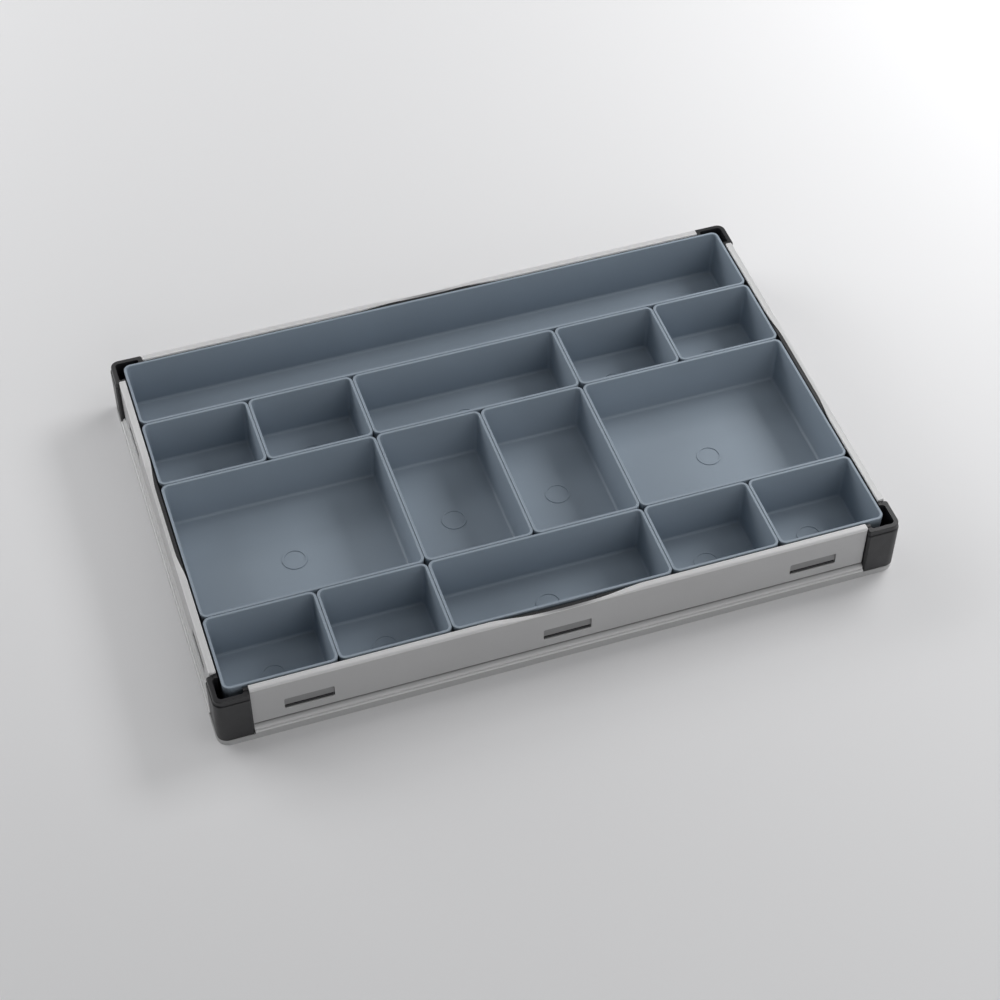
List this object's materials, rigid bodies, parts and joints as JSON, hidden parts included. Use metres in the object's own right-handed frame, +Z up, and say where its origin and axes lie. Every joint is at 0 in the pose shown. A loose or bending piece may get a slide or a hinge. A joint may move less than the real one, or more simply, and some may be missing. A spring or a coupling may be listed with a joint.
{
  "type": "box insert organizer",
  "caption": "Low rectangular organizer for game pieces: lift-out open trays on one grid, standing in a black carrier inside a frosted shell with finger dips.",
  "frame": {"origin": "centre of the underside, on the surface that the foot of the shell stands on", "axes": "+X along the long side, to the right seen from the front; +Y to the back, where the long tray is; +Z up"},
  "size_m": [0.2996, 0.2016, 0.0295],
  "materials": {
    "tray": "fine satin texture",
    "carrier": "satin black",
    "shell": "frosted translucent"
  },
  "bodies": {
    "box": {"outer_shell": "shell", "inner_carrier": "carrier"},
    "small_tray_front_1": {"small_tray_front_1": "tray"},
    "small_tray_front_2": {"small_tray_front_2": "tray"},
    "double_tray_front": {"double_tray_front": "tray"},
    "small_tray_front_3": {"small_tray_front_3": "tray"},
    "small_tray_front_4": {"small_tray_front_4": "tray"},
    "large_tray_left": {"large_tray_left": "tray"},
    "half_tray_left": {"half_tray_left": "tray"},
    "half_tray_right": {"half_tray_right": "tray"},
    "large_tray_right": {"large_tray_right": "tray"},
    "small_tray_back_1": {"small_tray_back_1": "tray"},
    "small_tray_back_2": {"small_tray_back_2": "tray"},
    "double_tray_back": {"double_tray_back": "tray"},
    "small_tray_back_3": {"small_tray_back_3": "tray"},
    "small_tray_back_4": {"small_tray_back_4": "tray"},
    "long_tray": {"long_tray": "tray"}
  },
  "joints": [
    {"name": "small_tray_front_1_lift", "type": "slide", "parent": "box", "child": "small_tray_front_1", "axis": [0, 0, 1], "range_m": [0, 0.04]},
    {"name": "small_tray_front_2_lift", "type": "slide", "parent": "box", "child": "small_tray_front_2", "axis": [0, 0, 1], "range_m": [0, 0.04]},
    {"name": "double_tray_front_lift", "type": "slide", "parent": "box", "child": "double_tray_front", "axis": [0, 0, 1], "range_m": [0, 0.04]},
    {"name": "small_tray_front_3_lift", "type": "slide", "parent": "box", "child": "small_tray_front_3", "axis": [0, 0, 1], "range_m": [0, 0.04]},
    {"name": "small_tray_front_4_lift", "type": "slide", "parent": "box", "child": "small_tray_front_4", "axis": [0, 0, 1], "range_m": [0, 0.04]},
    {"name": "large_tray_left_lift", "type": "slide", "parent": "box", "child": "large_tray_left", "axis": [0, 0, 1], "range_m": [0, 0.04]},
    {"name": "half_tray_left_lift", "type": "slide", "parent": "box", "child": "half_tray_left", "axis": [0, 0, 1], "range_m": [0, 0.04]},
    {"name": "half_tray_right_lift", "type": "slide", "parent": "box", "child": "half_tray_right", "axis": [0, 0, 1], "range_m": [0, 0.04]},
    {"name": "large_tray_right_lift", "type": "slide", "parent": "box", "child": "large_tray_right", "axis": [0, 0, 1], "range_m": [0, 0.04]},
    {"name": "small_tray_back_1_lift", "type": "slide", "parent": "box", "child": "small_tray_back_1", "axis": [0, 0, 1], "range_m": [0, 0.04]},
    {"name": "small_tray_back_2_lift", "type": "slide", "parent": "box", "child": "small_tray_back_2", "axis": [0, 0, 1], "range_m": [0, 0.04]},
    {"name": "double_tray_back_lift", "type": "slide", "parent": "box", "child": "double_tray_back", "axis": [0, 0, 1], "range_m": [0, 0.04]},
    {"name": "small_tray_back_3_lift", "type": "slide", "parent": "box", "child": "small_tray_back_3", "axis": [0, 0, 1], "range_m": [0, 0.04]},
    {"name": "small_tray_back_4_lift", "type": "slide", "parent": "box", "child": "small_tray_back_4", "axis": [0, 0, 1], "range_m": [0, 0.04]},
    {"name": "long_tray_lift", "type": "slide", "parent": "box", "child": "long_tray", "axis": [0, 0, 1], "range_m": [0, 0.04]}
  ]
}
